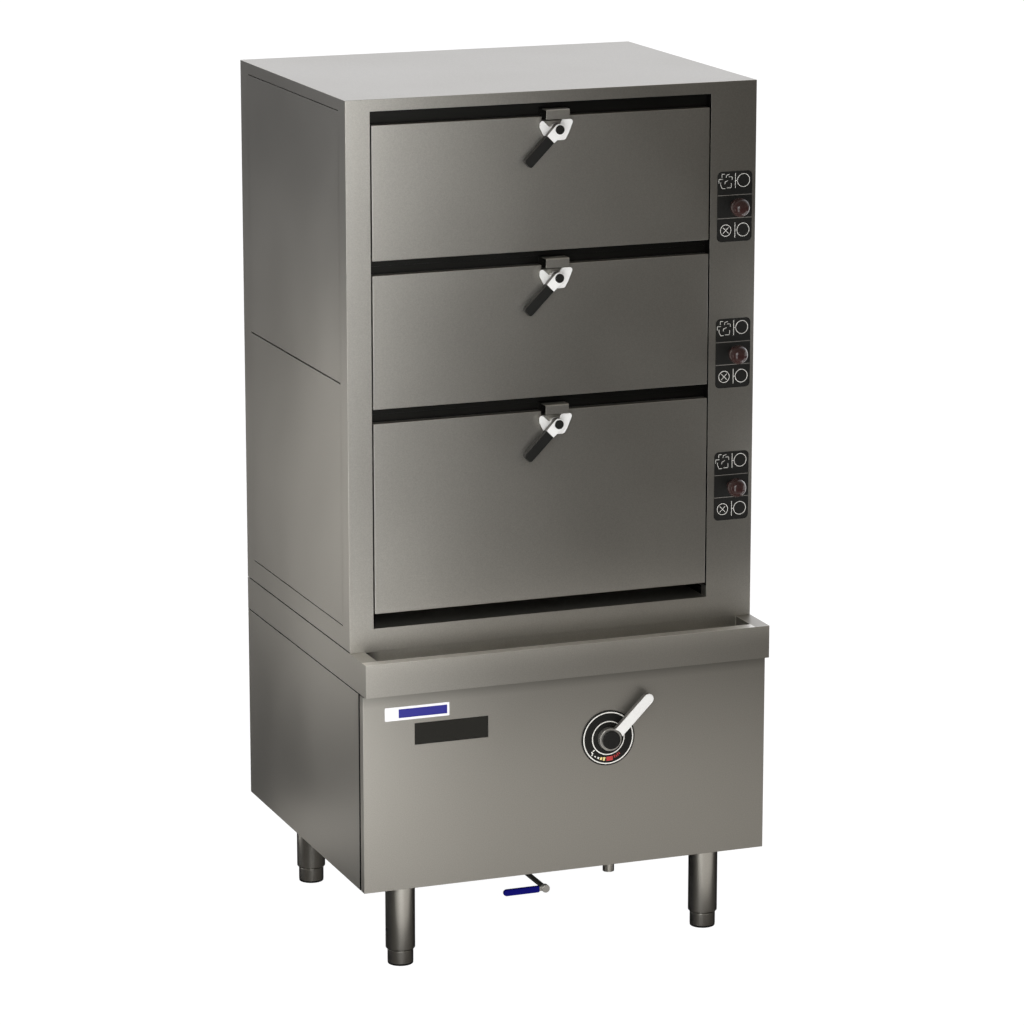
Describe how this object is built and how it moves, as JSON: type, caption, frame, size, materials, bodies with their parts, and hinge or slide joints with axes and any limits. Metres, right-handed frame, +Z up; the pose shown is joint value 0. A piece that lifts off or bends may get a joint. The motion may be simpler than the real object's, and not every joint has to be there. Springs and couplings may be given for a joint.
{
  "type": "steamer cabinet",
  "caption": "Upright catering steam cabinet with drop-down doors held by turning latches, valve pulls, a gas fired base with a lever control, a drip gutter and adjustable feet.",
  "frame": {"origin": "on the floor under the middle of the cabinet's overall box, from the gas lever's front to the back panel", "axes": "+Z up, +Y from the front to the back, +X to the right as seen from the front"},
  "size_m": [0.9, 0.8, 1.8219],
  "materials": {
    "brushed_steel": "satin",
    "inner_steel": "satin",
    "galvanised": "matt spangled zinc",
    "cast_metal": "satin",
    "dark_steel": "satin",
    "black_plastic": "fine matt",
    "black_rubber": "matt",
    "maroon_knob": "gloss",
    "blue_sleeve": "satin dip coat",
    "pale_plate": "gloss",
    "dark_glass": "gloss",
    "brass": "dull cast",
    "cast_iron": "rough"
  },
  "bodies": {
    "cabinet": {"top_cover": "brushed_steel", "bottom_band": "brushed_steel", "left_stile": "brushed_steel", "right_stile": "brushed_steel", "back_panel": "brushed_steel", "left_lower_panel": "brushed_steel", "left_upper_panel": "brushed_steel", "right_lower_panel": "brushed_steel", "right_upper_panel": "brushed_steel", "steam_chamber_bottom": "inner_steel", "steam_chamber_middle": "inner_steel", "steam_chamber_top": "inner_steel", "shelf_rack_bottom": "inner_steel", "shelf_rack_middle": "inner_steel", "shelf_rack_top": "inner_steel", "steam_riser": "inner_steel", "strike_bottom": "brushed_steel", "strike_middle": "brushed_steel", "strike_top": "brushed_steel", "hob_top": "brushed_steel", "base_front_panel": "brushed_steel", "base_left_side": "brushed_steel", "base_right_side": "brushed_steel", "base_back": "brushed_steel", "base_floor": "galvanised", "sight_window": "dark_glass", "badge_plate": "pale_plate", "dial_plate": "black_plastic", "gas_valve": "brass", "water_tank": "inner_steel", "burner": "cast_iron", "overflow_pipe": "inner_steel", "drain_valve": "brass", "leg_front_left": "brushed_steel", "leg_front_right": "brushed_steel", "leg_back_left": "brushed_steel", "leg_back_right": "brushed_steel"},
    "bottom_door": {"door_bottom": "brushed_steel", "door_gasket_bottom": "black_rubber"},
    "middle_door": {"door_middle": "brushed_steel", "door_gasket_middle": "black_rubber"},
    "top_door": {"door_top": "brushed_steel", "door_gasket_top": "black_rubber"},
    "bottom_latch": {"latch_lever_bottom": "cast_metal", "latch_grip_bottom": "black_plastic"},
    "middle_latch": {"latch_lever_middle": "cast_metal", "latch_grip_middle": "black_plastic"},
    "top_latch": {"latch_lever_top": "cast_metal", "latch_grip_top": "black_plastic"},
    "bottom_valve_pull": {"valve_knob_bottom": "maroon_knob"},
    "middle_valve_pull": {"valve_knob_middle": "maroon_knob"},
    "top_valve_pull": {"valve_knob_top": "maroon_knob"},
    "gas_control": {"gas_lever": "cast_metal", "gas_lever_cap": "black_plastic"},
    "drain_control": {"drain_lever": "dark_steel", "drain_lever_sleeve": "blue_sleeve"},
    "front_left_foot": {"foot_front_left": "brushed_steel"},
    "front_right_foot": {"foot_front_right": "brushed_steel"},
    "back_left_foot": {"foot_back_left": "brushed_steel"},
    "back_right_foot": {"foot_back_right": "brushed_steel"}
  },
  "joints": [
    {"name": "bottom_door_hinge", "type": "hinge", "parent": "cabinet", "child": "bottom_door", "pos_m": [0, -0.287, 0.766], "axis": [1, 0, 0], "range_deg": [0, 90]},
    {"name": "middle_door_hinge", "type": "hinge", "parent": "cabinet", "child": "middle_door", "pos_m": [0, -0.287, 1.1951], "axis": [1, 0, 0], "range_deg": [0, 90]},
    {"name": "top_door_hinge", "type": "hinge", "parent": "cabinet", "child": "top_door", "pos_m": [0, -0.287, 1.5009], "axis": [1, 0, 0], "range_deg": [0, 90]},
    {"name": "bottom_latch_turn", "type": "hinge", "parent": "bottom_door", "child": "bottom_latch", "pos_m": [0, -0.295, 1.133], "axis": [0, -1, 0], "range_deg": [0, 45]},
    {"name": "middle_latch_turn", "type": "hinge", "parent": "middle_door", "child": "middle_latch", "pos_m": [0, -0.295, 1.4388], "axis": [0, -1, 0], "range_deg": [0, 45]},
    {"name": "top_latch_turn", "type": "hinge", "parent": "top_door", "child": "top_latch", "pos_m": [0, -0.295, 1.7446], "axis": [0, -1, 0], "range_deg": [0, 45]},
    {"name": "bottom_valve_slide", "type": "slide", "parent": "cabinet", "child": "bottom_valve_pull", "axis": [0, -1, 0], "range_m": [0, 0.04]},
    {"name": "middle_valve_slide", "type": "slide", "parent": "cabinet", "child": "middle_valve_pull", "axis": [0, -1, 0], "range_m": [0, 0.04]},
    {"name": "top_valve_slide", "type": "slide", "parent": "cabinet", "child": "top_valve_pull", "axis": [0, -1, 0], "range_m": [0, 0.04]},
    {"name": "gas_lever_turn", "type": "hinge", "parent": "cabinet", "child": "gas_control", "pos_m": [0.0916, -0.375, 0.4654], "axis": [0, -1, 0], "range_deg": [0, 90]},
    {"name": "drain_lever_turn", "type": "hinge", "parent": "cabinet", "child": "drain_control", "pos_m": [-0.0488, -0.185, 0.1515], "axis": [0, -1, 0], "range_deg": [0, 90]},
    {"name": "front_left_foot_slide", "type": "slide", "parent": "cabinet", "child": "front_left_foot", "axis": [0, 0, -1], "range_m": [-0.02, 0.03]},
    {"name": "front_right_foot_slide", "type": "slide", "parent": "cabinet", "child": "front_right_foot", "axis": [0, 0, -1], "range_m": [-0.02, 0.03]},
    {"name": "back_left_foot_slide", "type": "slide", "parent": "cabinet", "child": "back_left_foot", "axis": [0, 0, -1], "range_m": [-0.02, 0.03]},
    {"name": "back_right_foot_slide", "type": "slide", "parent": "cabinet", "child": "back_right_foot", "axis": [0, 0, -1], "range_m": [-0.02, 0.03]}
  ]
}
